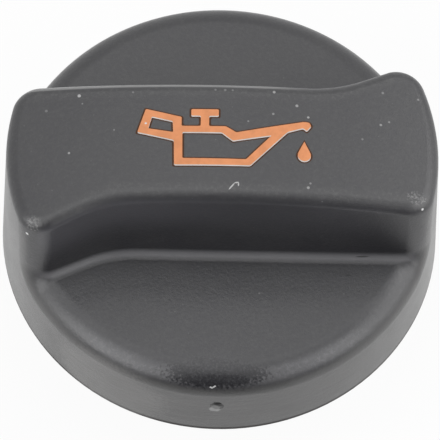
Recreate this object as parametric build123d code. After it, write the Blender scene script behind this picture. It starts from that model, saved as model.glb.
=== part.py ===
"""Oil filler cap: a moulded grip cap, a bayonet insert snapped into it, and a sealing ring.

Millimetres. +Z is the turning axis, X runs along the grip bar, and the stem's end stands on Z = 0.
"""
import os
from math import atan2, cos, degrees, radians, sin, sqrt, tan

from build123d import *

# Grip cap, outer form
cap_diameter = 65.0  # across the bottom edge of the rim
side_draft = 2.8  # degrees; the rim and the bar's ends lean in as one cone
disc_height = 14.0  # bottom edge of the rim to the flat top
rim_edge_radius = 4.0  # round of the rim's top edge and of the bar's upright corners
grip_height = 15.6  # flat top to the crown of the grip bar
grip_width = 21.3  # across the plain stretch of the bar, at its root
grip_draft = 4.4  # degrees
grip_edge_bevel = 1.7
root_radius = 1.5  # hollow fillet between the bar and the flat top
crown_radius = 148.0  # arch of the bar's top, along the bar
flare_knee = 16.0  # turning axis to where a flare leaves the bar's side
flare_angle = 24.8  # degrees
flare_bend_radius = 18.0
gate_diameter = 2.0
gate_depth = 0.25
gate_height = 7.7  # rim's bottom edge to the mark of the moulding gate

# Grip cap, inside
wall = 2.5
ledge_drop = 2.5  # inner face of the flat top to the seat of the insert
ledge_width = 2.1
grip_rib_count = 4
grip_rib_pitch = 12.0
grip_rib_thickness = 1.6
key_count = 4
key_width = 4.0
key_reach = 1.2
key_length = 6.0
snap_count = 4
snap_span = 24.0  # degrees
snap_reach = 0.9
snap_height = 2.0
snap_nose = 0.6

# Bayonet insert
stem_reach = 15.0  # rim's bottom edge down to the stem's end
stem_diameter = 34.0
stem_wall = 2.5
stem_end_chamfer = 0.6
flange_thickness = 2.2
web_thickness = 1.8
web_height = 9.0
flange_rib_count = 12
flange_rib_thickness = 1.4
flange_rib_height = 2.0
flange_rib_inset = 1.6  # flange's edge to the outer end of its ribs
lug_count = 2
lug_span = 44.0  # degrees
lug_reach = 3.5
lug_thickness = 4.0  # at the middle of the locking ramp
lug_rise = 1.6  # climb of the locking ramp from end to end
lug_end_gap = 1.0  # stem's end to the lug's underside
stop_span = 8.0  # degrees
stop_height = 5.0  # above the middle of the locking ramp

# Sealing ring
seal_width = 6.5
seal_thickness = 3.2
seal_edge_chamfer = 0.6
seal_groove_depth = 0.6

# Clearances
flange_clearance = 0.25
key_clearance = 0.2
snap_clearance = 0.1
seal_clearance = 0.1

# Heights
rim_z = stem_reach
disc_z = rim_z + disc_height
crown_z = disc_z + grip_height
disc_underside_z = disc_z - wall
ledge_z = disc_underside_z - ledge_drop
flange_z = ledge_z - flange_thickness
seal_z = flange_z - seal_thickness

# Building aids
join = 0.5  # how far one part of a moulding runs into the next before they are fused
beyond = 2 * cap_diameter  # a length that clears the whole cap
near = 1e-3


def side_radius(z, inset=0.0):
    """Radius at height z of the cone that the rim and the bar's ends share."""
    return cap_diameter / 2 - (z - rim_z) * tan(radians(side_draft)) - inset


# Radii
stem_radius = stem_diameter / 2
groove_radius = stem_radius - seal_groove_depth
seal_inner_radius = groove_radius + seal_clearance
seal_outer_radius = seal_inner_radius + seal_width
flange_radius = side_radius(ledge_z, wall) - flange_clearance
ledge_radius = flange_radius - ledge_width
key_radius = side_radius(ledge_z, wall) - key_reach
snap_radius = side_radius(flange_z, wall) - snap_reach


def turned(*points, arc=360.0):
    """Turn a closed outline of (radius, height) points about the axis, centred on +X."""
    section = make_face(Plane.XZ * Polyline(*points, close=True))
    return Rot(0, 0, -arc / 2) * revolve(section, Axis.Z, revolution_arc=arc)


def tube(inner, outer, bottom, top, arc=360.0):
    return turned((inner, bottom), (outer, bottom), (outer, top), (inner, top), arc=arc)


def block(x, y, z):
    """A block between two limits on each axis."""
    size = [high - low for low, high in (x, y, z)]
    middle = [(high + low) / 2 for low, high in (x, y, z)]
    return Pos(*middle) * Box(*size)


def around(piece, count, start=0.0):
    """Copies of a piece, evenly spaced about the turning axis."""
    return [Rot(0, 0, start + 360 * i / count) * piece for i in range(count)]


def side_cone(bottom, top, inset=0.0):
    return turned((0, bottom), (side_radius(bottom, inset), bottom), (side_radius(top, inset), top), (0, top))


def grip_plan(inset):
    """The bar in plan, run out past the rim: a flare at one end of each side, point-symmetric."""
    half = grip_width / 2 - inset
    knee = flare_knee + inset * tan(radians(flare_angle / 2))
    bend = flare_bend_radius + inset
    flare_y = half + (beyond - knee) * tan(radians(flare_angle))
    front = FilletPolyline((-beyond, -flare_y), (-knee, -half), (beyond, -half), radius=bend)
    back = FilletPolyline((beyond, flare_y), (knee, half), (-beyond, half), radius=bend)
    right = Line((beyond, -half), (beyond, flare_y))
    left = Line((-beyond, half), (-beyond, -flare_y))
    return make_face(front.edges() + right.edges() + back.edges() + left.edges())


def grip_walls(bottom, inset=0.0):
    """The bar's drafted sides, run up past the crown."""
    spread = (disc_z - bottom) * tan(radians(grip_draft))
    plan = grip_plan(inset / cos(radians(grip_draft)) - spread)
    return extrude(Plane.XY.offset(bottom) * plan, crown_z - bottom + wall, taper=grip_draft)


def crown(inset=0.0):
    """All that lies under the arch of the bar's top."""
    return Pos(0, 0, crown_z - crown_radius) * Rot(90, 0, 0) * Cylinder(crown_radius - inset, 2 * beyond)


def is_level(edge, z):
    return all(abs((edge @ place).Z - z) < near for place in (0, 0.5, 1))


def is_on_side(edge):
    """True for an edge that lies on the cone of the sides."""
    points = [edge @ place for place in (0, 0.5, 1)]
    return all(abs(sqrt(p.X**2 + p.Y**2) - side_radius(p.Z)) < near for p in points)


def outer_form():
    """The cap's outside: rim, flat top and arched bar, with all their rounds."""
    plate_half = beyond / 2
    plate = block((-plate_half, plate_half), (-plate_half, plate_half), (rim_z, disc_z))
    form = plate + grip_walls(disc_z)
    roots = [e for e in form.edges() if is_level(e, disc_z)]
    roots = [e for e in roots if max(abs((e @ 0.5).X), abs((e @ 0.5).Y)) < plate_half - near]
    form = fillet(roots, root_radius)

    form = form & side_cone(rim_z, crown_z + wall)
    side_edges = [e for e in form.edges() if is_on_side(e) and e.geom_type != GeomType.LINE]
    rim_edges = [e for e in side_edges if is_level(e, disc_z) or abs((e @ 0).Z - (e @ 1).Z) > near]
    form = fillet(rim_edges, rim_edge_radius) & crown()

    tops = [f for f in form.faces().filter_by(GeomType.CYLINDER) if f.center().Z > disc_z + root_radius]
    top_edges = [e for f in tops for e in f.edges()]
    outline = [e for e in top_edges if sum(e.is_same(other) for other in top_edges) == 1]
    return chamfer(outline, grip_edge_bevel)


def cap_hollow():
    """The space inside the cap: under the flat top, and up into the bar between its ribs."""
    rim_space = side_cone(rim_z, ledge_z, wall)
    top_space = tube(0, ledge_radius, ledge_z - join, disc_underside_z)
    bar_space = grip_walls(ledge_z - join, wall) & side_cone(ledge_z - join, crown_z, wall) & crown(wall)
    first_rib = -grip_rib_pitch * (grip_rib_count - 1) / 2
    for i in range(grip_rib_count):
        rib_x = first_rib + i * grip_rib_pitch
        rib = (rib_x - grip_rib_thickness / 2, rib_x + grip_rib_thickness / 2)
        bar_space -= block(rib, (-beyond, beyond), (disc_underside_z, crown_z))
    return rim_space + top_space + bar_space


def cap_key():
    """A key on the rim's inner wall that turns the insert with the cap."""
    outer = side_radius(ledge_z, wall) + join
    half = key_width / 2
    return block((key_radius, outer), (-half, half), (ledge_z - key_length, ledge_z + join))


def cap_snap():
    """A snap on the rim's inner wall that holds the insert's flange up against its ledge."""
    outer = side_radius(flange_z, wall) + join
    top = flange_z - snap_clearance
    nose = [(snap_radius, top), (snap_radius, top - snap_nose)]
    return turned((outer, top), *nose, (outer, top - snap_height), arc=snap_span)


def grip_cap():
    cap = outer_form() - cap_hollow()
    cap += around(cap_key(), key_count, start=180 / key_count)
    cap += around(cap_snap(), snap_count)
    gate_z = rim_z + gate_height
    gate = Pos(0, -side_radius(gate_z), gate_z) * Rot(90, 0, 0) * Cylinder(gate_diameter / 2, 2 * gate_depth)
    return cap - gate


def bayonet_lug():
    """A lug with a locking ramp on top, and the stop that the ramp ends against."""
    inner = stem_radius - join
    outer = stem_radius + lug_reach
    ramp_z = lug_end_gap + lug_thickness
    run = 2 * stem_radius * sin(radians(lug_span / 2))
    tilt = degrees(atan2(lug_rise, run))
    ramp = Plane((0, 0, ramp_z)).rotated((tilt, 0, 0))
    lug = tube(inner, outer, lug_end_gap, ramp_z + lug_rise, arc=lug_span)
    lug = split(lug, bisect_by=ramp, keep=Keep.BOTTOM)
    stop = tube(inner, outer, lug_end_gap, ramp_z + stop_height, arc=stop_span)
    return lug + Rot(0, 0, (lug_span - stop_span) / 2) * stop


def bayonet_insert():
    bore_radius = stem_radius - stem_wall
    insert = tube(0, flange_radius, flange_z, ledge_z)
    top_z = flange_z + join
    lead_in = [(stem_radius - stem_end_chamfer, 0), (stem_radius, stem_end_chamfer)]
    insert += turned((bore_radius, 0), *lead_in, (stem_radius, top_z), (bore_radius, top_z))
    rib_half = flange_rib_thickness / 2
    rib_reach = (seal_outer_radius + seal_clearance, flange_radius - flange_rib_inset)
    rib = block(rib_reach, (-rib_half, rib_half), (flange_z - flange_rib_height, top_z))
    insert += around(rib, flange_rib_count)
    web_half = web_thickness / 2
    web_reach = (-bore_radius - join, bore_radius + join)
    web = block(web_reach, (-web_half, web_half), (flange_z - web_height, top_z))
    insert += [web, Rot(0, 0, 90) * web]
    insert += around(bayonet_lug(), lug_count)
    insert -= tube(groove_radius, seal_outer_radius, seal_z, flange_z)
    notch_half = key_width / 2 + key_clearance
    notch_reach = (key_radius - key_clearance, beyond)
    notch = block(notch_reach, (-notch_half, notch_half), (flange_z - join, ledge_z + join))
    return insert - around(notch, key_count, start=180 / key_count)


def sealing_ring():
    seal = tube(seal_inner_radius, seal_outer_radius, seal_z, flange_z)
    return chamfer([e for e in seal.edges() if is_level(e, seal_z)], seal_edge_chamfer)


os.makedirs("parts", exist_ok=True)
export_step(grip_cap(), "parts/grip_cap.step")
export_step(bayonet_insert(), "parts/bayonet_insert.step")
export_step(sealing_ring(), "parts/sealing_ring.step")
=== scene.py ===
"""The look of the oil filler cap: black moulded plastic with a printed oil-can sign, in a white studio."""

import math

import bmesh
import bpy
from mathutils import Matrix, Vector


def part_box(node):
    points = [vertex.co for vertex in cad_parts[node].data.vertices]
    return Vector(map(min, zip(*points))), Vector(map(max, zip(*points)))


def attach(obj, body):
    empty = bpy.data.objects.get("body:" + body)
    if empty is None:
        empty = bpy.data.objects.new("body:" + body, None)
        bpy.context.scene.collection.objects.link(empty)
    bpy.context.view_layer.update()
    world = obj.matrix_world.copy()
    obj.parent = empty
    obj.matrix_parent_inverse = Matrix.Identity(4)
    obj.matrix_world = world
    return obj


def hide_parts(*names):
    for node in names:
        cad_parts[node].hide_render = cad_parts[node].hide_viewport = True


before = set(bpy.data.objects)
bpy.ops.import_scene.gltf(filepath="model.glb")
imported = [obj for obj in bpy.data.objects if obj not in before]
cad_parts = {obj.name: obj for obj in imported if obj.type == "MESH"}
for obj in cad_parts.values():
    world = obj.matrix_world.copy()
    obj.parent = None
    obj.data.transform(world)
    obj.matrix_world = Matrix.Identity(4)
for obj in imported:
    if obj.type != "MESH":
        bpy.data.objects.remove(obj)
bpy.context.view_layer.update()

MM = 0.001
scene = bpy.context.scene
scene.view_settings.view_transform = "Standard"

# The cap's own sizes. Lengths are in millimetres and angles in degrees.
CROWN_RADIUS = 148.0  # arch of the bar's top
RIM_RADIUS = 32.5  # at the bottom edge of the rim
RIM_Z = 15.0
DISC_Z = 29.0  # the flat top
SIDE_DRAFT = 2.8  # the rim and the bar's ends lean in as one cone
RIM_EDGE_ROUND = 0.3
FLARE_X = 16.0  # turning axis to where a flare leaves the bar's side
FLARE_SLOPE = 0.462  # how far a flare goes out for each millimetre along the bar
BAR_TOP_Z = 38.0  # the bar's top and its edge lie above this height
crown_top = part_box("grip_cap")[1].z / MM
side_lean = math.radians(SIDE_DRAFT)


def arch(x):
    """Height of the bar's top at x, in millimetres."""
    return crown_top - CROWN_RADIUS + math.sqrt(CROWN_RADIUS**2 - x**2)


class Paint:
    """A procedural material. Its textures read millimetres in the cap's own frame."""

    def __init__(self, name):
        self.material = bpy.data.materials.new(name)
        self.material.use_nodes = True
        self.tree = self.material.node_tree
        self.shader = self.tree.nodes["Principled BSDF"]
        place = self.node("ShaderNodeTexCoord")
        scaled = self.node("ShaderNodeVectorMath", operation="SCALE")
        scaled.inputs["Scale"].default_value = 1.0 / MM
        self.join(place.outputs["Object"], scaled.inputs[0])
        self.mm = scaled.outputs[0]
        self.edge_noise = None

    def node(self, kind, **settings):
        made = self.tree.nodes.new(kind)
        for key, value in settings.items():
            setattr(made, key, value)
        return made

    def join(self, source, target):
        self.tree.links.new(source, target)

    def feed(self, value, socket):
        """Links an output to a socket, or writes a plain value on it."""
        if isinstance(value, bpy.types.NodeSocket):
            self.join(value, socket)
        else:
            socket.default_value = value

    def set(self, **values):
        """Puts values or outputs on the shader's own sockets."""
        for key, value in values.items():
            self.feed(value, self.shader.inputs[key.replace("_", " ")])

    def math(self, operation, a, b=0.0):
        made = self.node("ShaderNodeMath", operation=operation)
        self.feed(a, made.inputs[0])
        self.feed(b, made.inputs[1])
        return made.outputs[0]

    def stretched(self, scale):
        """The place, with each of its coordinates multiplied by a number."""
        made = self.node("ShaderNodeVectorMath", operation="MULTIPLY")
        self.join(self.mm, made.inputs[0])
        made.inputs[1].default_value = scale
        return made.outputs[0]

    def length(self, vector):
        made = self.node("ShaderNodeVectorMath", operation="LENGTH")
        self.join(vector, made.inputs[0])
        return made.outputs["Value"]

    def noise(self, per_mm, detail, rough, warp=0.0, place=None):
        made = self.node("ShaderNodeTexNoise")
        made.inputs["Scale"].default_value = per_mm
        made.inputs["Detail"].default_value = detail
        made.inputs["Roughness"].default_value = rough
        made.inputs["Distortion"].default_value = warp
        self.join(place or self.mm, made.inputs["Vector"])
        return made.outputs["Fac"]

    def streaks(self, along, across):
        """Level streaks: a noise drawn out round the cap, in spots per millimetre along and across them."""
        return self.noise(1.0, detail=4.0, rough=0.7, place=self.stretched((along, along, across)))

    def specks(self, per_mm, size, share):
        """Small round specks: one in each cell of a loose grid, kept in a share of the cells."""
        cells = self.node("ShaderNodeTexVoronoi", feature="F1")
        cells.inputs["Scale"].default_value = per_mm
        self.join(self.mm, cells.inputs["Vector"])
        split = self.node("ShaderNodeSeparateColor")
        self.join(cells.outputs["Color"], split.inputs[0])
        kept = self.ramp(split.outputs[0], share, share * 0.9)
        reach = self.math("MULTIPLY", split.outputs[1], size * per_mm)
        near = self.math("DIVIDE", cells.outputs["Distance"], reach)
        return self.math("MULTIPLY", self.ramp(near, 1.0, 0.6), kept)

    def spot(self, at, reach, turn=0.0, ragged=0.35):
        """One mark: an ellipsoid of that reach round a point, turned about Z, with a ragged edge."""
        local = self.node("ShaderNodeMapping", vector_type="TEXTURE")
        self.join(self.mm, local.inputs["Vector"])
        local.inputs["Location"].default_value = at
        local.inputs["Rotation"].default_value = (0.0, 0.0, math.radians(turn))
        local.inputs["Scale"].default_value = reach
        if self.edge_noise is None:
            self.edge_noise = self.noise(2.5, detail=3.0, rough=0.6)
        rough_edge = self.math("MULTIPLY", self.edge_noise, ragged)
        edge = self.math("ADD", self.length(local.outputs[0]), rough_edge)
        return self.ramp(edge, 1.0 + ragged * 0.5, 0.6 + ragged * 0.5)

    def ramp(self, value, low, high, out_low=0.0, out_high=1.0):
        """Maps low..high smoothly to out_low..out_high and stops at both ends."""
        made = self.node("ShaderNodeMapRange", interpolation_type="SMOOTHSTEP")
        self.feed(value, made.inputs["Value"])
        made.inputs["From Min"].default_value = low
        made.inputs["From Max"].default_value = high
        made.inputs["To Min"].default_value = out_low
        made.inputs["To Max"].default_value = out_high
        return made.outputs["Result"]

    def band(self, value, start, full, fade, end):
        """0 up to start, 1 between full and fade, and 0 again from end on."""
        return self.math("MULTIPLY", self.ramp(value, start, full), self.ramp(value, end, fade))

    def all_of(self, *masks):
        total = masks[0]
        for mask in masks[1:]:
            total = self.math("MULTIPLY", total, mask)
        return total

    def any_of(self, *masks):
        total = masks[0]
        for mask in masks[1:]:
            total = self.math("MAXIMUM", total, mask)
        return total

    def mix(self, amount, a, b):
        """Colour a where amount is 0, b where it is 1."""
        made = self.node("ShaderNodeMix", data_type="RGBA")
        self.feed(amount, made.inputs[0])
        self.feed(a, made.inputs[6])
        self.feed(b, made.inputs[7])
        return made.outputs[2]

    def coat(self, colour, mask, strength, coating):
        """The colour with a coating over it where the mask is 1, at part of its full strength."""
        return self.mix(self.math("MULTIPLY", mask, strength), colour, coating)

    def grain(self, height, strength, depth):
        """Gives the surface a fine relief, with its depth in millimetres."""
        made = self.node("ShaderNodeBump")
        made.inputs["Strength"].default_value = strength
        made.inputs["Distance"].default_value = depth * MM
        self.join(height, made.inputs["Height"])
        self.set(Normal=made.outputs[0])


class CapPaint(Paint):
    """A paint with the distances that the cap's dust, wear and painted light and shade are laid out by, in
    millimetres.
    """

    def __init__(self, name):
        super().__init__(name)
        split = self.node("ShaderNodeSeparateXYZ")
        self.join(self.mm, split.inputs[0])
        self.x, self.y, self.z = split.outputs
        self.reach = self.length(self.stretched((1.0, 1.0, 0.0)))
        full = RIM_RADIUS + RIM_Z * math.tan(side_lean)
        cone = self.math("ADD", self.reach, self.math("MULTIPLY", self.z, math.tan(side_lean)))
        self.inside = self.math("SUBTRACT", full, cone)

    def out_of_bar(self, side):
        """How far a place lies out from the bar's middle line on one side, less the flare."""
        past_knee = self.math("SUBTRACT", self.math("MULTIPLY", self.x, side), FLARE_X)
        flare = self.math("MULTIPLY", self.math("MAXIMUM", past_knee, 0.0), FLARE_SLOPE)
        return self.math("SUBTRACT", self.math("MULTIPLY", self.y, side), flare)

    def under_arch(self):
        """How far a place lies below the bar's arched top."""
        fall = self.math("MULTIPLY", self.math("MULTIPLY", self.x, self.x), 0.5 / CROWN_RADIUS)
        return self.math("SUBTRACT", crown_top, self.math("ADD", self.z, fall))

    def both_sides(self, mask):
        """A mask that takes a side, joined for the front and the back of the bar."""
        return self.any_of(mask(self, FRONT), mask(self, BACK))


def tone(red, green, blue):
    return (red, green, blue, 1.0)


def grey(level, blue=1.0):
    """A grey, a touch bluer where blue is above 1."""
    return tone(level * (1.0 + 0.1 * (blue - 1.0)), level, level * blue)


# The two long sides of the bar.
FRONT = -1.0
BACK = 1.0

# Zones of dust, wear and painted light and shade in millimetres: four numbers are (start, full, fade, end),
# two are (start, full).
ROOT_BAND = (DISC_Z, DISC_Z + 0.3, DISC_Z + 0.45, DISC_Z + 1.4)  # heights
ROOT_FADE = (31.0, 29.0)  # distances from the axis
WALL_START = (8.2, 9.3)  # out of the bar's middle
WALL_BAND = (0.3, 1.4, 3.5, 11.0)  # depths under the arch
WALL_ALONG = (-8.0, 16.0)  # along the bar, from the plain end to the flared one
APRON_BAND = (11.6, 12.8, 13.8, 17.0)  # out of the bar's middle
APRON_LEVEL = (DISC_Z + 1.6, DISC_Z + 1.0)
APRON_FADE = (30.5, 28.5)  # distances from the axis
# The painted shade on the right end of the bar's front wall:
WALL_SHADE_START = (9.1, 9.6)  # out of the bar's middle
WALL_SHADE_ALONG = (15.0, 25.0)
WALL_SHADE_FADE = (31.2, 30.4)  # distances from the axis
WALL_SHADE_BAND = (30.2, 30.8, 40.5, 42.0)  # heights
SIDE_START = (0.68, 0.18)  # inside the cone of the sides
SIDE_FADE = (40.0, 36.0)  # heights
RIM_START = (1.6, 0.4)  # inside the cone of the sides
RIM_ASIDE = (13.0, 22.0)  # left or right of the middle
RIM_FADE = (31.5, 29.5)  # heights
# Painted shade along the bottom edge of the rim:
FOOT_SHADE_START = (RIM_Z + 1.1, RIM_Z + 0.6)
BLOOM_BAND = (28.9, 30.0, 30.9, 31.6)  # distances from the axis
BLOOM_HEIGHTS = (25.5, 27.3, 29.2, 29.3)
BLOOM_FRONT = (-19.0, -27.5)  # towards the front
EDGE_BAND = (6.5, 7.7, 8.3, 9.1)  # out of the bar's middle
EDGE_START = (40.0, 41.0)  # heights
# The painted highlight along the bar's back top edge:
LINE_BAND = (8.5, 8.8, 9.3, 9.7)  # out of the bar's middle
LINE_START = (39.5, 40.5)  # heights
LINE_FADE = (13.0, 5.0)  # along the bar

# Single marks, by place and reach in millimetres.
# A darker, duller patch on the front of the rim's round, with pale flecks on it:
DARK_PATCH = {"at": (-0.4, -29.7, 28.5), "reach": (8.6, 2.6, 2.2), "ragged": 1.3}
DARK_PATCH_CORE = {"at": (-0.4, -30.9, 27.8), "reach": (8.4, 1.9, 1.6), "ragged": 1.2}
FLECKED = {"at": (-0.4, -29.4, 28.6), "reach": (8.2, 3.2, 2.0), "ragged": 0.9}
# A painted pool of light on the front left of the rim's side.
LIT_SIDE = {"at": (-16.5, -27.8, 20.0), "reach": (12.0, 9.0, 9.0), "ragged": 0.6}
# Painted light on the lower part of the gate mark, painted shade over its upper edge.
GATE_LIT = {"at": (-0.3, -32.1, 21.7), "reach": (0.95, 0.8, 0.9), "ragged": 0.8}
GATE_SHADE = {"at": (-0.1, -31.95, 23.05), "reach": (1.1, 0.7, 0.55), "ragged": 0.3}
LEFT_SCUFF = {"at": (-27.0, -13.0, 42.0), "reach": (1.3, 1.6, 2.0), "ragged": 0.8}
RIGHT_SCUFF = {"at": (27.9, -7.5, 42.0), "reach": (1.8, 1.2, 2.0), "ragged": 0.8}
# Specks on the bar's top, as (x, y, half-width, strength).
SPECKS = [
    (-20.9, 7.4, 0.30, 0.9), (-20.4, 6.1, 0.16, 0.35), (-22.1, -1.9, 0.22, 0.6), (-15.7, 1.6, 0.16, 0.3),
    (12.25, 4.1, 0.22, 0.7), (7.3, 8.0, 0.26, 0.7), (10.6, 5.9, 0.26, 0.6), (7.2, 4.4, 0.22, 0.4),
    (3.6, 3.05, 0.18, 0.35), (22.8, 3.8, 0.24, 0.5), (24.0, 4.4, 0.2, 0.35), (23.1, 9.1, 0.24, 0.35),
    (28.3, 8.6, 0.2, 0.4), (12.3, -7.3, 0.26, 0.6), (12.6, -6.6, 0.2, 0.35), (20.1, 1.2, 0.2, 0.25),
    (-13.1, 7.7, 0.2, 0.25), (-25.6, 5.2, 0.26, 0.25), (-1.2, 8.1, 0.2, 0.3), (0.2, 8.1, 0.24, 0.3),
    (1.3, 8.1, 0.2, 0.3),
]
SPECK_DEPTH = 0.5
# Specks on the bar's front corners, as (place, half-width).
CORNER_SPECKS = [((-27.83, -13.04, 39.1), 0.3), ((28.82, -8.81, 40.94), 0.24)]
# The hooked scratch on the bar's top, as strokes (x, y, half-length, half-width, turn in degrees).
SCRATCH = [(1.35, -7.55, 0.8, 0.13, 52.0), (2.05, -6.95, 0.38, 0.13, 8.0), (2.3, -7.25, 0.32, 0.11, 88.0)]
SCRATCH_DEPTH = 0.6
# A white tick on the rim's round, as the places of its dabs.
TICK = [(-1.05, -31.3, 27.3), (-0.85, -31.35, 27.2), (-0.62, -31.28, 27.33), (-0.42, -31.2, 27.46)]
TICK_REACH = (0.2, 0.2, 0.12)
# Dark nicks by the bar's root, as (place, half-length).
NICKS = [((20.7, -10.9, 29.6), 1.2), ((18.7, -13.7, 29.0), 0.5)]
NICK_WIDTH = 0.12
NICK_DEPTH = 0.3
NICK_TURN = 2.0
CRISP = 0.2  # raggedness of a mark with a clear edge


def root_highlight(paint):
    """Painted highlight: a pale band in the hollow fillet at the bar's root."""
    return paint.all_of(paint.band(paint.z, *ROOT_BAND), paint.ramp(paint.reach, *ROOT_FADE))


def wall_dust_and_light(paint, side):
    """A thin film of dust and painted light on one long wall of the bar, paler towards the flared end."""
    on_wall = paint.ramp(paint.out_of_bar(side), *WALL_START)
    along = paint.ramp(paint.math("MULTIPLY", paint.x, side), *WALL_ALONG, 0.5, 1.0)
    return paint.all_of(on_wall, along, paint.band(paint.under_arch(), *WALL_BAND))


def shaded_wall_end(paint):
    """Painted shade on the right end of the bar's front wall."""
    on_wall = paint.ramp(paint.out_of_bar(FRONT), *WALL_SHADE_START)
    along = paint.ramp(paint.x, *WALL_SHADE_ALONG)
    ends = paint.ramp(paint.reach, *WALL_SHADE_FADE)
    return paint.all_of(on_wall, along, ends, paint.band(paint.z, *WALL_SHADE_BAND))


def dust_apron(paint, side):
    """Dust that thins out over the flat top, away from one long wall of the bar."""
    return paint.band(paint.out_of_bar(side), *APRON_BAND)


def side_dust_and_light(paint):
    """Dust in level streaks on the cone of the sides, with painted light that makes the sides paler."""
    streak = paint.ramp(paint.streaks(0.12, 1.6), 0.3, 0.7, 0.62, 1.0)
    on_side = paint.all_of(paint.ramp(paint.inside, *SIDE_START), paint.ramp(paint.z, *SIDE_FADE))
    return paint.all_of(on_side, streak)


def rim_dust(paint):
    """Dust on the round of the rim's top edge, to the left and the right."""
    aside = paint.ramp(paint.math("ABSOLUTE", paint.x), *RIM_ASIDE)
    return paint.all_of(paint.ramp(paint.inside, *RIM_START), aside, paint.ramp(paint.z, *RIM_FADE))


def rim_bloom(paint, dark_patch, mottle):
    """A pale bloom on the front of the rim's round, beside the dark patch."""
    return paint.all_of(
        paint.band(paint.reach, *BLOOM_BAND),
        paint.band(paint.z, *BLOOM_HEIGHTS),
        paint.math("SUBTRACT", 1.0, dark_patch),
        paint.ramp(paint.y, *BLOOM_FRONT),
        paint.ramp(mottle, 0.0, 1.0, 0.6, 1.0),
    )


def edge_wear(paint, side):
    """A rubbed band along one long top edge of the bar."""
    return paint.all_of(paint.band(paint.out_of_bar(side), *EDGE_BAND), paint.ramp(paint.z, *EDGE_START))


def back_edge_highlight(paint):
    """Painted highlight: a thin bright line along the bar's back top edge."""
    line = paint.band(paint.out_of_bar(BACK), *LINE_BAND)
    return paint.all_of(line, paint.ramp(paint.z, *LINE_START), paint.ramp(paint.x, *LINE_FADE))


def scuff(paint, mark):
    """A rough rubbed place, broken up into fine specks."""
    broken = paint.ramp(paint.noise(2.6, detail=4.0, rough=0.75), 0.44, 0.64)
    return paint.all_of(paint.spot(**mark), broken)


def top_marks(paint):
    """The specks and the scratch on the bar, as coats (mask, strength, colour)."""
    coats = []
    for x, y, half_width, strength in SPECKS:
        mark = paint.spot((x, y, arch(x)), (half_width, half_width, SPECK_DEPTH))
        coats.append((mark, strength, grey(0.45)))
    for x, y, half_length, half_width, turn in SCRATCH:
        mark = paint.spot((x, y, arch(x)), (half_length, half_width, SCRATCH_DEPTH), turn, CRISP)
        coats.append((mark, 0.8, grey(0.6)))
    for at, half_width in CORNER_SPECKS:
        coats.append((paint.spot(at, (half_width, half_width, half_width)), 1.0, grey(0.75)))
    return coats


def low_marks(paint):
    """The tick on the rim and the nicks by the bar's root, as coats."""
    coats = []
    for at in TICK:
        coats.append((paint.spot(at, TICK_REACH, ragged=CRISP), 1.0, grey(0.6)))
    for at, half_length in NICKS:
        mark = paint.spot(at, (half_length, NICK_WIDTH, NICK_DEPTH), NICK_TURN, CRISP)
        coats.append((mark, 0.8, grey(0.012)))
    return coats


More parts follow.
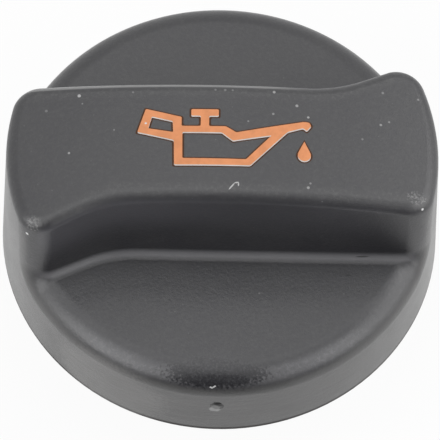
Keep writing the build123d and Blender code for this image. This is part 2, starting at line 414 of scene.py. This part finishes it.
def cap_plastic():
    """Black plastic from a finely textured mould, dusty and worn in places, with painted light and shade on
    its walls, sides, edges and gate mark.
    """
    paint = CapPaint("cap_plastic")
    cloud = paint.noise(0.09, detail=4.0, rough=0.6)
    mottle = paint.ramp(paint.noise(1.7, detail=5.0, rough=0.75), 0.42, 0.72)
    dirt = paint.ramp(paint.noise(3.0, detail=4.0, rough=0.8), 0.45, 0.70)
    root = root_highlight(paint)
    walls = paint.all_of(paint.both_sides(wall_dust_and_light), paint.ramp(paint.reach, *ROOT_FADE))
    low = paint.all_of(paint.ramp(paint.z, *APRON_LEVEL), paint.ramp(paint.reach, *APRON_FADE))
    sides = side_dust_and_light(paint)
    foot_shade = paint.ramp(paint.z, *FOOT_SHADE_START)
    dark_patch = paint.spot(**DARK_PATCH)
    worn = paint.all_of(paint.both_sides(edge_wear), paint.ramp(mottle, 0.1, 0.9, 0.35, 1.0))
    scuffs = paint.any_of(scuff(paint, LEFT_SCUFF), scuff(paint, RIGHT_SCUFF))
    gate_shade = paint.spot(**GATE_SHADE)

    # Each coat is (mask, strength, colour), and lies over the ones before it.
    coats = [
        (mottle, 0.40, grey(0.062)),
        (paint.specks(0.9, size=0.13, share=0.30), 0.35, grey(0.17)),
        (paint.specks(0.36, size=0.22, share=0.30), 0.40, grey(0.22)),
        # painted highlight in the fillet at the bar's root
        (root, 0.9, tone(0.118, 0.117, 0.124)),
        # dust and painted light on the long walls, paler towards the flared end
        (walls, 0.85, tone(0.074, 0.073, 0.082)),
        # painted shade on the right end of the front wall
        (shaded_wall_end(paint), 0.6, grey(0.012, 1.2)),
        (paint.all_of(paint.both_sides(dust_apron), low), 0.4, tone(0.075, 0.075, 0.079)),
        # dust and painted light on the sides
        (sides, 1.0, tone(0.084, 0.083, 0.083)),
        (rim_dust(paint), 0.45, tone(0.080, 0.079, 0.079)),
        # painted shade along the bottom edge of the rim
        (foot_shade, 0.9, tone(0.012, 0.009, 0.008)),
        (rim_bloom(paint, dark_patch, mottle), 0.9, tone(0.130, 0.129, 0.136)),
        # a darker patch on the front of the rim's round
        (dark_patch, 0.9, grey(0.011, 1.25)),
        (paint.all_of(dirt, paint.spot(**FLECKED)), 0.34, tone(0.110, 0.110, 0.118)),
        (worn, 0.4, grey(0.085)),
        # painted highlight along the back top edge
        (back_edge_highlight(paint), 0.6, grey(0.32)),
        (scuffs, 0.65, grey(0.27)),
        *top_marks(paint),
        # a painted pool of light on the front left of the side
        (paint.all_of(paint.spot(**LIT_SIDE), sides), 0.8, tone(0.157, 0.154, 0.152)),
        # painted light under the gate mark and painted shade over it
        (paint.spot(**GATE_LIT), 0.8, grey(0.32)),
        (gate_shade, 0.95, grey(0.008)),
        *low_marks(paint),
    ]
    colour = paint.mix(paint.ramp(cloud, 0.3, 0.7), grey(0.026, 1.15), grey(0.032, 1.1))
    for mask, strength, coating in coats:
        colour = paint.coat(colour, mask, strength, coating)

    rubbed = paint.any_of(scuffs, paint.math("MULTIPLY", root, 0.7))
    uneven = paint.math("ADD", cloud, paint.math("MULTIPLY", rubbed, 0.4))
    core = paint.spot(**DARK_PATCH_CORE)
    # less reflective where shade is painted on the rim's bottom edge and over the gate mark, and in the
    # middle of the dark patch
    dull = paint.any_of(foot_shade, gate_shade, paint.math("MULTIPLY", core, 0.5))
    paint.set(
        Base_Color=colour,
        Roughness=paint.ramp(uneven, 0.3, 1.0, 0.28, 0.46),
        Specular_IOR_Level=paint.ramp(dull, 0.0, 1.0, 0.5, 0.12),
        IOR=1.59,
    )
    paint.grain(paint.noise(2.2, detail=4.0, rough=0.75), strength=0.8, depth=0.06)
    return paint.material


def insert_plastic():
    """Plain black plastic of the stem and flange, with faint flow marks."""
    paint = Paint("insert_plastic")
    flow = paint.noise(0.25, detail=4.0, rough=0.6, warp=1.5)
    colour = paint.mix(paint.ramp(flow, 0.3, 0.75), grey(0.026, 1.05), grey(0.036, 1.05))
    colour = paint.coat(colour, paint.specks(0.5, size=0.2, share=0.25), 0.5, grey(0.18))
    paint.set(Base_Color=colour, Roughness=paint.ramp(flow, 0.2, 0.8, 0.34, 0.48))
    paint.grain(paint.noise(3.0, detail=3.0, rough=0.6), strength=0.2, depth=0.015)
    return paint.material


def seal_rubber():
    """Dull black rubber with a dusty bloom."""
    paint = Paint("seal_rubber")
    bloom = paint.noise(0.5, detail=5.0, rough=0.65)
    colour = paint.mix(paint.ramp(bloom, 0.4, 0.75), grey(0.018), grey(0.034))
    paint.set(Base_Color=colour, Roughness=paint.ramp(bloom, 0.3, 0.8, 0.62, 0.8))
    paint.grain(paint.noise(5.0, detail=3.0, rough=0.7), strength=0.35, depth=0.03)
    return paint.material


def ink(name, colour, worn, roughness, specular=0.5, chip=None):
    """An ink, a little uneven and worn in places, for the print and for the painted shadow and highlight
    round it; chip is a place where a dab of it is gone.
    """
    paint = Paint(name)
    cloud = paint.noise(0.6, detail=3.0, rough=0.6)
    chips = paint.ramp(paint.noise(1.3, detail=5.0, rough=0.7), 0.70, 0.76)
    darker = tone(*(0.86 * part for part in colour[:3]))
    shade = paint.mix(paint.ramp(cloud, 0.3, 0.75), colour, darker)
    shade = paint.mix(chips, shade, worn)
    if chip:
        shade = paint.mix(paint.spot(chip, (0.2, 0.2, 0.5)), shade, grey(0.7))
    paint.set(
        Base_Color=shade,
        Roughness=paint.ramp(cloud, 0.3, 0.7, roughness, roughness + 0.1),
        Specular_IOR_Level=specular,
    )
    paint.grain(paint.noise(4.2, detail=3.0, rough=0.7), strength=0.25, depth=0.02)
    return paint.material


def dress(piece, material):
    piece.data.materials.clear()
    piece.data.materials.append(material)


# How the solids' meshes are joined, rounded and shaded. Lengths are in millimetres and angles in degrees.
WELD = 0.002
ON_FACE = 0.02  # how near a point has to be to lie on the arch or the cone
MOST_TILT = 12.0  # between a facet and the true face that it stands for
SHARP_ANGLE = 50.0
EVEN_WEIGHT = 50
EDGE_STEPS = 6  # facets across the round of the bar's top edge
TOP_RISE = 0.93  # the normal of a facet of the bar's top rises more than this
WALL_RISE = 0.25  # the normal of a facet of the bar's walls rises less than this
UNDERSIDE_RISE = -0.9  # the normal of a facet under the rim rises less than this
SIDE_RISE = -0.2  # the normal of a facet of the rim's side rises more than this


def walk(edges):
    """The vertices of a closed loop of edges, in order."""
    ways = {}
    for edge in edges:
        for vert in edge.verts:
            ways.setdefault(vert, []).append(edge.other_vert(vert))
    first = min(ways, key=lambda vert: (vert.co.x, vert.co.y))
    order = [first, max(ways[first], key=lambda vert: vert.co.y)]
    while True:
        onward = [vert for vert in ways[order[-1]] if vert is not order[-2]][0]
        if onward is first:
            return order
        order.append(onward)


def zip_loops(first, second):
    """Pairs of vertices that step along two loops side by side, always by the shorter crossing."""
    start = min(range(len(second)), key=lambda j: (second[j].co - first[0].co).length)
    second = second[start:] + second[:start]
    i = 0
    j = 0
    pairs = [(first[0], second[0])]
    while i < len(first) or j < len(second):
        a = first[(i + 1) % len(first)]
        b = second[(j + 1) % len(second)]
        by_first = (a.co - second[j % len(second)].co).length
        by_second = (b.co - first[i % len(first)].co).length
        if j == len(second) or (i < len(first) and by_first < by_second):
            i += 1
        else:
            j += 1
        pairs.append((first[i % len(first)], second[j % len(second)]))
    return pairs


def arch_normal(at):
    return Vector((at.x, 0.0, math.sqrt((CROWN_RADIUS * MM) ** 2 - at.x**2))).normalized()


def cone_normal(at):
    reach = math.hypot(at.x, at.y)
    level = math.cos(side_lean) / reach
    return Vector((at.x * level, at.y * level, math.sin(side_lean)))


def on_arch(at):
    return at.z > BAR_TOP_Z * MM and abs(at.z / MM - arch(at.x / MM)) < ON_FACE


def on_cone(at):
    cone_reach = RIM_RADIUS * MM - (at.z - RIM_Z * MM) * math.tan(side_lean)
    return abs(math.hypot(at.x, at.y) - cone_reach) < ON_FACE * MM


def round_line(form, top, wall, wall_normal):
    """Vertices along the round that leads from a vertex of the bar's top to one of its wall."""
    top_normal = arch_normal(top.co)
    turn = top_normal.angle(wall_normal)
    along = top_normal.cross(wall_normal).normalized()
    way = wall.co - top.co
    width = (way - along * way.dot(along)).length
    radius = width / (2 * math.sin(turn / 2))
    outwards = (top_normal + wall_normal).normalized()
    line = [top]
    for k in range(1, EDGE_STEPS):
        bend = (k / EDGE_STEPS - 0.5) * turn
        share = 0.5 + radius * math.sin(bend) / width
        rise = radius * (math.cos(bend) - math.cos(turn / 2))
        line.append(form.verts.new(top.co + way * share + outwards * rise))
    return line + [wall]


def round_top_edge(form):
    """Makes the flat bevel round the bar's top into the true round that it stands for."""
    high = [face for face in form.faces if face.calc_center_median().z > BAR_TOP_Z * MM]
    strip = {face for face in high if WALL_RISE < face.normal.z < TOP_RISE}
    top_edges = []
    wall_edges = []
    wall_normals = {}
    for edge in {edge for face in strip for edge in face.edges}:
        beyond = [face for face in edge.link_faces if face not in strip]
        if beyond and beyond[0].normal.z > TOP_RISE:
            top_edges.append(edge)
        elif beyond:
            wall_edges.append(edge)
            normal = beyond[0].normal * beyond[0].calc_area()
            for vert in edge.verts:
                wall_normals[vert] = wall_normals.get(vert, Vector()) + normal
    pairs = zip_loops(walk(top_edges), walk(wall_edges))
    bmesh.ops.delete(form, geom=list(strip), context="FACES_ONLY")

    lines = {}
    for top, wall in pairs:
        if (top, wall) not in lines:
            lines[top, wall] = round_line(form, top, wall, wall_normals[wall].normalized())
    for before, after in zip(pairs, pairs[1:]):
        p = lines[before]
        q = lines[after]
        for k in range(EDGE_STEPS):
            corners = dict.fromkeys((p[k], p[k + 1], q[k + 1], q[k]))
            form.faces.new(list(corners))
    bmesh.ops.delete(form, geom=[edge for edge in form.edges if not edge.link_faces], context="EDGES")
    bmesh.ops.delete(form, geom=[vert for vert in form.verts if not vert.link_faces], context="VERTS")
    bmesh.ops.recalc_face_normals(form, faces=form.faces)


def round_rim_edge(form):
    """Takes the sharp corner off the bottom edge of the rim."""
    edges = []
    for edge in form.edges:
        rises = [face.normal.z for face in edge.link_faces]
        is_corner = min(rises) < UNDERSIDE_RISE and max(rises) > SIDE_RISE
        if is_corner and all(on_cone(vert.co) for vert in edge.verts):
            edges.append(edge)
    size = RIM_EDGE_ROUND * MM
    bmesh.ops.bevel(
        form, geom=edges, offset=size, offset_type="OFFSET", segments=3, profile=0.5, affect="EDGES"
    )


def cap_form(form):
    round_top_edge(form)
    round_rim_edge(form)


def true_normals(mesh, even_normals):
    """The even shading, made exact on the faces of the arched top and of the rim's cone."""
    normals = list(even_normals)
    for face in mesh.polygons:
        spots = [mesh.vertices[i].co for i in face.vertices]
        for lies_on, exact in ((on_cone, cone_normal), (on_arch, arch_normal)):
            if not all(lies_on(at) for at in spots):
                continue
            if exact(face.center).angle(face.normal) < math.radians(MOST_TILT):
                for corner, at in zip(face.loop_indices, spots):
                    normals[corner] = exact(at)
    return normals


def smooth_copy(node, name, shape=None):
    """The solid's mesh with its facets joined, shaded smooth between its true edges."""
    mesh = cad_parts[node].data.copy()
    mesh.name = name
    form = bmesh.new()
    form.from_mesh(mesh)
    bmesh.ops.remove_doubles(form, verts=form.verts, dist=WELD * MM)
    form.normal_update()
    if shape:
        shape(form)
    for face in form.faces:
        face.smooth = True
    form.to_mesh(mesh)
    form.free()
    mesh.set_sharp_from_angle(angle=math.radians(SHARP_ANGLE))
    piece = bpy.data.objects.new(name, mesh)
    scene.collection.objects.link(piece)
    even = piece.modifiers.new("even_shading", "WEIGHTED_NORMAL")
    even.keep_sharp = True
    even.weight = EVEN_WEIGHT
    if shape:
        bpy.context.view_layer.update()
        shaded = piece.evaluated_get(bpy.context.evaluated_depsgraph_get()).data
        even_normals = [Vector(corner.vector) for corner in shaded.corner_normals]
        piece.modifiers.remove(even)
        mesh.normals_split_custom_set(true_normals(mesh, even_normals))
    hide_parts(node)
    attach(piece, "root")
    return piece


shell = smooth_copy("grip_cap", "cap_shell", cap_form)
dress(shell, cap_plastic())
insert = smooth_copy("bayonet_insert", "stem_and_flange")
dress(insert, insert_plastic())
ring = smooth_copy("sealing_ring", "seal")
dress(ring, seal_rubber())

# The oil-can sign, in millimetres on the bar's top.
CAN = [
    (-11.2, 4.9), (-6.0, 3.55), (-6.0, 2.1), (-3.25, 2.1), (-3.25, 3.78), (-4.62, 3.78), (-4.62, 4.84),
    (-0.67, 4.84), (-0.67, 3.78), (-2.04, 3.78), (-2.04, 2.1), (0.4, 2.1), (1.9, 1.15), (11.6, 3.3),
    (12.4, 3.25), (12.7, 2.7), (12.05, 1.85), (11.5, 2.3), (9.3, 1.55), (3.95, -4.13), (-6.97, -4.18),
    (-7.07, -0.2), (-12.35, 1.15),
]
HANDLE_HOLE = [(-10.3, 3.64), (-7.28, 2.88), (-7.17, 1.08), (-10.8, 1.72)]
BODY_HOLE = [(-5.85, 1.1), (-0.2, 1.1), (1.42, -0.2), (7.0, 0.87), (3.35, -3.16), (-5.8, -3.12)]
HOLES = [HANDLE_HOLE, BODY_HOLE]
DROP_TIP = (11.7, 0.1)
DROP_BELLY = (11.7, -2.1)
DROP_RADIUS = 0.95
CAN_ROUND = 0.22
HOLE_ROUND = 0.18
LINE_WIDTH = 0.26  # of the painted shadow line round the sign
LINE_TIP = (11.7, 0.5)  # of the line round the drop
LINE_ROUND = 0.3
LINE_HOLE_ROUND = 0.1
CHIP_X = -11.15
CHIP_Y = 2.55
FILM_SUNK = 0.06  # how far a film's underside lies inside the bar
FILM_WELD = 0.005
FILM_HALF_LENGTH = 13  # a film is cut at each millimetre up to here, so that it can bend


def rounded(corners, radius):
    """The outline with each corner rounded off."""
    most = 0.42  # largest share of an edge that one corner takes
    points = []
    for i, corner in enumerate(corners):
        here = Vector(corner)
        before = Vector(corners[i - 1]) - here
        after = Vector(corners[(i + 1) % len(corners)]) - here
        cut = min(radius, most * before.length, most * after.length)
        start = here + before.normalized() * cut
        end = here + after.normalized() * cut
        for t in (0.0, 0.33, 0.67, 1.0):
            points.append((1 - t) ** 2 * start + 2 * t * (1 - t) * here + t**2 * end)
    return points


def grown(corners, by):
    """The outline moved outwards by a distance, or inwards where the distance is negative."""
    points = [Vector(corner) for corner in corners]
    edges = list(zip(points, points[1:] + points[:1]))
    ways = [(b - a).normalized() for a, b in edges]
    around = sum(a.x * b.y - b.x * a.y for a, b in edges)
    reach = math.copysign(by, by * around)
    moved = []
    for i, here in enumerate(points):
        before = Vector((ways[i - 1].y, -ways[i - 1].x))
        after = Vector((ways[i].y, -ways[i].x))
        moved.append(here + (before + after) * reach / (1.0 + before.dot(after)))
    return moved


def drop(tip, belly, radius, steps=14):
    """A falling drop: a point above, a round belly below."""
    tip = Vector(tip)
    belly = Vector(belly)
    open_angle = math.acos(radius / (tip - belly).length)
    points = [tip]
    for i in range(steps + 1):
        turn = math.pi / 2 + open_angle + (2 * math.pi - 2 * open_angle) * i / steps
        points.append(belly + radius * Vector((math.cos(turn), math.sin(turn))))
    return points


def filled(name, outlines, shift):
    """A flat slab between the outlines, moved along y, as a mesh in millimetres."""
    curve = bpy.data.curves.new(name, "CURVE")
    curve.dimensions = "2D"
    curve.fill_mode = "BOTH"
    curve.extrude = 1.0
    for outline in outlines:
        line = curve.splines.new("POLY")
        line.points.add(len(outline) - 1)
        for point, at in zip(line.points, outline):
            point.co = (at[0], at[1] + shift, 0.0, 1.0)
        line.use_cyclic_u = True
    flat = bpy.data.objects.new(name + "_flat", curve)
    scene.collection.objects.link(flat)
    bpy.context.view_layer.update()
    mesh = bpy.data.meshes.new_from_object(flat.evaluated_get(bpy.context.evaluated_depsgraph_get()))
    bpy.data.objects.remove(flat)
    mesh.name = name
    return mesh


def film(name, outlines, proud, shift, material):
    """A thin layer of ink, bent over the bar's top and standing proud of it by a hair, for the print and
    for the painted shadow and highlight round it.
    """
    mesh = filled(name, outlines, shift)
    form = bmesh.new()
    form.from_mesh(mesh)
    bmesh.ops.remove_doubles(form, verts=form.verts, dist=FILM_WELD)
    for i in range(-FILM_HALF_LENGTH, FILM_HALF_LENGTH + 1):
        parts = form.verts[:] + form.edges[:] + form.faces[:]
        cut_at = (float(i), 0.0, 0.0)
        bmesh.ops.bisect_plane(form, geom=parts, dist=1e-5, plane_co=cut_at, plane_no=(1.0, 0.0, 0.0))
    for vert in form.verts:
        level = proud if vert.co.z > 0 else -FILM_SUNK
        vert.co = Vector((vert.co.x, vert.co.y, arch(vert.co.x) + level)) * MM
    bmesh.ops.recalc_face_normals(form, faces=form.faces)
    form.to_mesh(mesh)
    form.free()
    piece = bpy.data.objects.new(name, mesh)
    scene.collection.objects.link(piece)
    dress(piece, material)
    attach(piece, "root")


sign = [rounded(CAN, CAN_ROUND), drop(DROP_TIP, DROP_BELLY, DROP_RADIUS)]
sign += [rounded(hole, HOLE_ROUND) for hole in HOLES]
outlined = [rounded(grown(CAN, LINE_WIDTH), LINE_ROUND)]
outlined += [drop(LINE_TIP, DROP_BELLY, DROP_RADIUS + LINE_WIDTH)]
outlined += [rounded(grown(hole, -LINE_WIDTH), LINE_HOLE_ROUND) for hole in HOLES]
# Painted shadow and highlight round the sign: a dark line all round it, and a pale copy shifted towards its
# lower edges.
shadow_line_ink = ink("sign_shadow_ink", tone(0.080, 0.040, 0.024), grey(0.03), 0.5, specular=0.1)
sign_highlight_ink = ink("sign_highlight_ink", tone(0.64, 0.62, 0.60), grey(0.12), 0.45)
chip = (CHIP_X, CHIP_Y, arch(CHIP_X))
orange_ink = ink("orange_ink", tone(0.76, 0.292, 0.118), tone(0.7, 0.5, 0.4), 0.42, chip=chip)
# the painted shadow line, the painted highlight, then the orange print
film("sign_shadow_line", outlined, proud=0.01, shift=-0.09, material=shadow_line_ink)
film("sign_highlight", sign, proud=0.025, shift=-0.18, material=sign_highlight_ink)
film("sign_orange", sign, proud=0.04, shift=0.0, material=orange_ink)

# Camera, fitted to the cap's outline in the photograph.
TARGET = Vector((0.0, 0.0, 0.015))
DISTANCE = 0.6
ELEVATION = math.radians(63.27)
YAW = math.radians(1.29)
ROLL = math.radians(2.32)
FOCAL_PIXELS = 3993.6
PICTURE_PIXELS = 440.0
RIGHT_PIXELS = -0.69
DOWN_PIXELS = 11.82
SENSOR = 36.0


def bearing(azimuth, elevation):
    """The way to a place round the cap; azimuth 0 lies in front of it, 90 degrees to its right."""
    level = math.cos(elevation)
    return Vector((level * math.sin(azimuth), -level * math.cos(azimuth), math.sin(elevation)))


out = bearing(-YAW, ELEVATION)
stand = TARGET + DISTANCE * out
level_right = (-out).cross(Vector((0, 0, 1))).normalized()
level_up = level_right.cross(-out)
right = level_right * math.cos(ROLL) + level_up * math.sin(ROLL)
up = level_up * math.cos(ROLL) - level_right * math.sin(ROLL)
aim = TARGET + (up * DOWN_PIXELS - right * RIGHT_PIXELS) * DISTANCE / FOCAL_PIXELS
look = (aim - stand).normalized()
right = (right - look * right.dot(look)).normalized()
up = right.cross(look)

camera = bpy.data.objects.new("camera", bpy.data.cameras.new("camera"))
camera.data.sensor_width = SENSOR
camera.data.lens = SENSOR * FOCAL_PIXELS / PICTURE_PIXELS
camera.data.clip_start = 0.01
camera.matrix_world = Matrix.Translation(stand) @ Matrix((right, up, -look)).transposed().to_4x4()
scene.collection.objects.link(camera)
scene.camera = camera

# Studio. Lengths are in metres.
AMBIENT = 0.35
FLOOR_GLOW = 0.94
PAPER = 0.85
HALF_FLOOR = 3.0
CAP_MIDDLE_Z = 0.02
LAMP_DISTANCE = 1.2
CARD_COLUMNS = 24


def seen_rays(tree):
    """1 for rays from the camera, reflections and glass, 0 for the soft light that falls on the object."""
    path = tree.nodes.new("ShaderNodeLightPath")
    total = path.outputs["Is Camera Ray"]
    for name in ("Is Glossy Ray", "Is Transmission Ray"):
        either = tree.nodes.new("ShaderNodeMath")
        either.operation = "MAXIMUM"
        tree.links.new(total, either.inputs[0])
        tree.links.new(path.outputs[name], either.inputs[1])
        total = either.outputs[0]
    return total


world = bpy.data.worlds.new("studio")
scene.world = world
world.use_nodes = True
strength = world.node_tree.nodes.new("ShaderNodeMapRange")
strength.inputs["To Min"].default_value = AMBIENT
strength.inputs["To Max"].default_value = 1.0
world.node_tree.links.new(seen_rays(world.node_tree), strength.inputs["Value"])
backdrop = world.node_tree.nodes["Background"]
backdrop.inputs["Color"].default_value = grey(1.0)
world.node_tree.links.new(strength.outputs[0], backdrop.inputs["Strength"])


def floor_material():
    """White paper: it shows as white, with a faint shadow under the object."""
    material = bpy.data.materials.new("floor_paper")
    material.use_nodes = True
    tree = material.node_tree
    tree.nodes.remove(tree.nodes["Principled BSDF"])
    paper = tree.nodes.new("ShaderNodeBsdfDiffuse")
    paper.inputs["Color"].default_value = grey(PAPER)
    glow = tree.nodes.new("ShaderNodeEmission")
    glow.inputs["Strength"].default_value = 1.0
    share = tree.nodes.new("ShaderNodeMath")
    share.operation = "MULTIPLY"
    share.inputs[1].default_value = FLOOR_GLOW
    tree.links.new(seen_rays(tree), share.inputs[0])
    blend = tree.nodes.new("ShaderNodeMixShader")
    tree.links.new(share.outputs[0], blend.inputs[0])
    tree.links.new(paper.outputs[0], blend.inputs[1])
    tree.links.new(glow.outputs[0], blend.inputs[2])
    tree.links.new(blend.outputs[0], tree.nodes["Material Output"].inputs["Surface"])
    return material


def card_material():
    material = bpy.data.materials.new("card_black")
    material.use_nodes = True
    shader = material.node_tree.nodes["Principled BSDF"]
    shader.inputs["Base Color"].default_value = grey(0.02)
    shader.inputs["Roughness"].default_value = 0.9
    return material


def sheet_mesh(name, corners, faces, material):
    mesh = bpy.data.meshes.new(name)
    mesh.from_pydata(corners, [], faces)
    mesh.materials.append(material)
    piece = bpy.data.objects.new(name, mesh)
    scene.collection.objects.link(piece)
    return piece


def softbox(name, azimuth, elevation, width, height, radiance):
    """A rectangular lamp that faces the cap."""
    lamp = bpy.data.lights.new(name, "AREA")
    lamp.shape = "RECTANGLE"
    lamp.size = width
    lamp.size_y = height
    lamp.energy = radiance * math.pi * width * height
    way = bearing(math.radians(azimuth), math.radians(elevation))
    piece = bpy.data.objects.new(name, lamp)
    piece.location = Vector((0, 0, CAP_MIDDLE_Z)) + way * LAMP_DISTANCE
    piece.rotation_euler = way.to_track_quat("Z", "Y").to_euler()
    scene.collection.objects.link(piece)


def raised(distance, elevation):
    """The point of a card's profile at a distance and elevation from the cap's middle."""
    way = bearing(0.0, math.radians(elevation)) * distance
    return (-way.y, CAP_MIDDLE_Z + way.z)


def dark_card(name, half_angle, profile, material):
    """A black card bent round the front of the cap, which darkens what the cap's edges reflect.

    The profile is a line of (distance from the axis, height) points. The camera doesn't see the card.
    """
    corners = []
    for distance, height in profile:
        for j in range(CARD_COLUMNS + 1):
            turn = math.radians(half_angle * (2 * j / CARD_COLUMNS - 1))
            corners.append((distance * math.sin(turn), -distance * math.cos(turn), height))
    faces = []
    row = CARD_COLUMNS + 1
    for i in range(len(profile) - 1):
        for j in range(CARD_COLUMNS):
            at = i * row + j
            faces.append((at, at + 1, at + row + 1, at + row))
    card = sheet_mesh(name, corners, faces, material)
    card.visible_camera = False


floor_corners = [(x * HALF_FLOOR, y * HALF_FLOOR, 0) for x, y in ((-1, -1), (1, -1), (1, 1), (-1, 1))]
sheet_mesh("floor", floor_corners, [(0, 1, 2, 3)], floor_material())

softbox("lamp_top", azimuth=-125, elevation=76, width=1.2, height=0.75, radiance=1.0)
softbox("lamp_back", azimuth=120, elevation=45, width=0.8, height=0.8, radiance=1.3)
softbox("lamp_left", azimuth=-55, elevation=26, width=1.1, height=1.15, radiance=1.95)
softbox("lamp_right", azimuth=80, elevation=26, width=1.5, height=1.15, radiance=1.65)

black = card_material()
edge_profile = [(0.18, 0.001), (0.5, 0.001), raised(0.95, 2), raised(0.95, 4)]
mat_profile = [(0.078, 0.002), (0.3, 0.002)]
front_profile = [raised(0.9, elevation) for elevation in (4, 14, 24, 34, 44, 55)]
dark_card("edge_card", 62, edge_profile, black)
dark_card("front_mat", 26, mat_profile, black)
dark_card("front_card", 15, front_profile, black)
